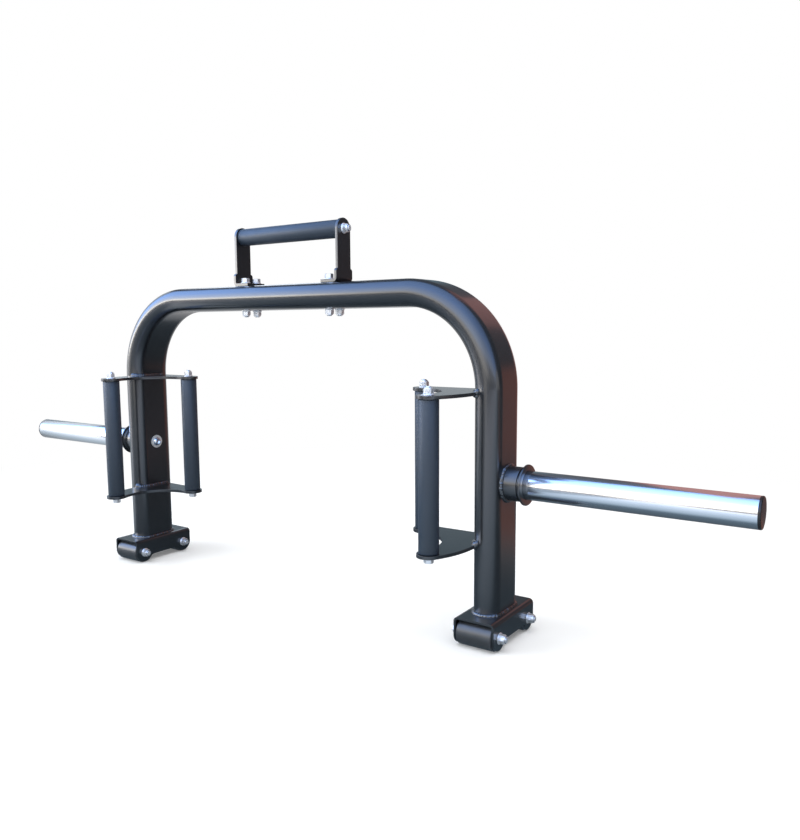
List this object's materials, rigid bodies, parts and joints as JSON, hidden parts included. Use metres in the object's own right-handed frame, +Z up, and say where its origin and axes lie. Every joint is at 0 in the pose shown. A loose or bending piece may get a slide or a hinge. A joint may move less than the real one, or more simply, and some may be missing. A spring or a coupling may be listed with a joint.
{
  "type": "open-ended trap bar",
  "caption": "Open-ended trap bar: a bent arch frame on roller feet, with upright grips at two positions, a carry handle on top and turning chrome loading sleeves.",
  "frame": {"origin": "bottom centre of the bounding box, on the floor under the crossbar's middle", "axes": "+X along the sleeves towards the right one, +Y from the forward grips towards the arch, +Z up"},
  "size_m": [1.7996, 0.2389, 0.7608],
  "materials": {
    "powder_coat": "satin black powder coat",
    "grip": "knurled, matt dark grey coat",
    "chrome": "bright chrome plate",
    "zinc": "bright zinc plate",
    "steel": "ground steel",
    "bronze": "sintered bronze",
    "nylon": "black nylon"
  },
  "bodies": {
    "frame": {"arch_tube": "powder_coat", "carry_grip": "grip", "carry_grip_bolt": "zinc", "carry_grip_nut": "zinc", "left_carry_bracket": "powder_coat", "left_foot_channel": "powder_coat", "left_lower_handle_plate": "powder_coat", "left_upper_handle_plate": "powder_coat", "left_front_crossbar_bolt": "zinc", "left_front_crossbar_nut": "zinc", "left_front_roller_bolt": "zinc", "left_front_roller_nut": "zinc", "left_rear_crossbar_bolt": "zinc", "left_rear_crossbar_nut": "zinc", "left_rear_roller_bolt": "zinc", "left_rear_roller_nut": "zinc", "left_low_grip": "grip", "left_low_grip_bolt": "zinc", "left_low_grip_nut": "zinc", "left_high_grip": "grip", "left_high_grip_bolt": "zinc", "left_high_grip_nut": "zinc", "left_sleeve_boss": "powder_coat", "left_sleeve_shaft": "steel", "left_sleeve_bolt": "zinc", "right_carry_bracket": "powder_coat", "right_foot_channel": "powder_coat", "right_lower_handle_plate": "powder_coat", "right_upper_handle_plate": "powder_coat", "right_front_crossbar_bolt": "zinc", "right_front_crossbar_nut": "zinc", "right_front_roller_bolt": "zinc", "right_front_roller_nut": "zinc", "right_rear_crossbar_bolt": "zinc", "right_rear_crossbar_nut": "zinc", "right_rear_roller_bolt": "zinc", "right_rear_roller_nut": "zinc", "right_low_grip": "grip", "right_low_grip_bolt": "zinc", "right_low_grip_nut": "zinc", "right_high_grip": "grip", "right_high_grip_bolt": "zinc", "right_high_grip_nut": "zinc", "right_sleeve_boss": "powder_coat", "right_sleeve_shaft": "steel", "right_sleeve_bolt": "zinc"},
    "left_front_roller": {"left_front_roller": "nylon"},
    "left_rear_roller": {"left_rear_roller": "nylon"},
    "left_sleeve": {"left_sleeve_tube": "chrome", "left_sleeve_collar": "powder_coat", "left_sleeve_inner_bush": "bronze", "left_sleeve_outer_bush": "bronze", "left_sleeve_end_cap": "nylon"},
    "right_front_roller": {"right_front_roller": "nylon"},
    "right_rear_roller": {"right_rear_roller": "nylon"},
    "right_sleeve": {"right_sleeve_tube": "chrome", "right_sleeve_collar": "powder_coat", "right_sleeve_inner_bush": "bronze", "right_sleeve_outer_bush": "bronze", "right_sleeve_end_cap": "nylon"}
  },
  "joints": [
    {"name": "left_sleeve_turn", "type": "hinge", "parent": "frame", "child": "left_sleeve", "pos_m": [-0.468, 0.03855, 0.282], "axis": [1, 0, 0], "continuous": true},
    {"name": "left_front_roller_turn", "type": "hinge", "parent": "frame", "child": "left_front_roller", "pos_m": [-0.468, -0.01845, 0.02391], "axis": [1, 0, 0], "continuous": true},
    {"name": "left_rear_roller_turn", "type": "hinge", "parent": "frame", "child": "left_rear_roller", "pos_m": [-0.468, 0.09555, 0.02391], "axis": [1, 0, 0], "continuous": true},
    {"name": "right_sleeve_turn", "type": "hinge", "parent": "frame", "child": "right_sleeve", "pos_m": [0.468, 0.03855, 0.282], "axis": [1, 0, 0], "continuous": true},
    {"name": "right_front_roller_turn", "type": "hinge", "parent": "frame", "child": "right_front_roller", "pos_m": [0.468, -0.01845, 0.02391], "axis": [1, 0, 0], "continuous": true},
    {"name": "right_rear_roller_turn", "type": "hinge", "parent": "frame", "child": "right_rear_roller", "pos_m": [0.468, 0.09555, 0.02391], "axis": [1, 0, 0], "continuous": true}
  ]
}
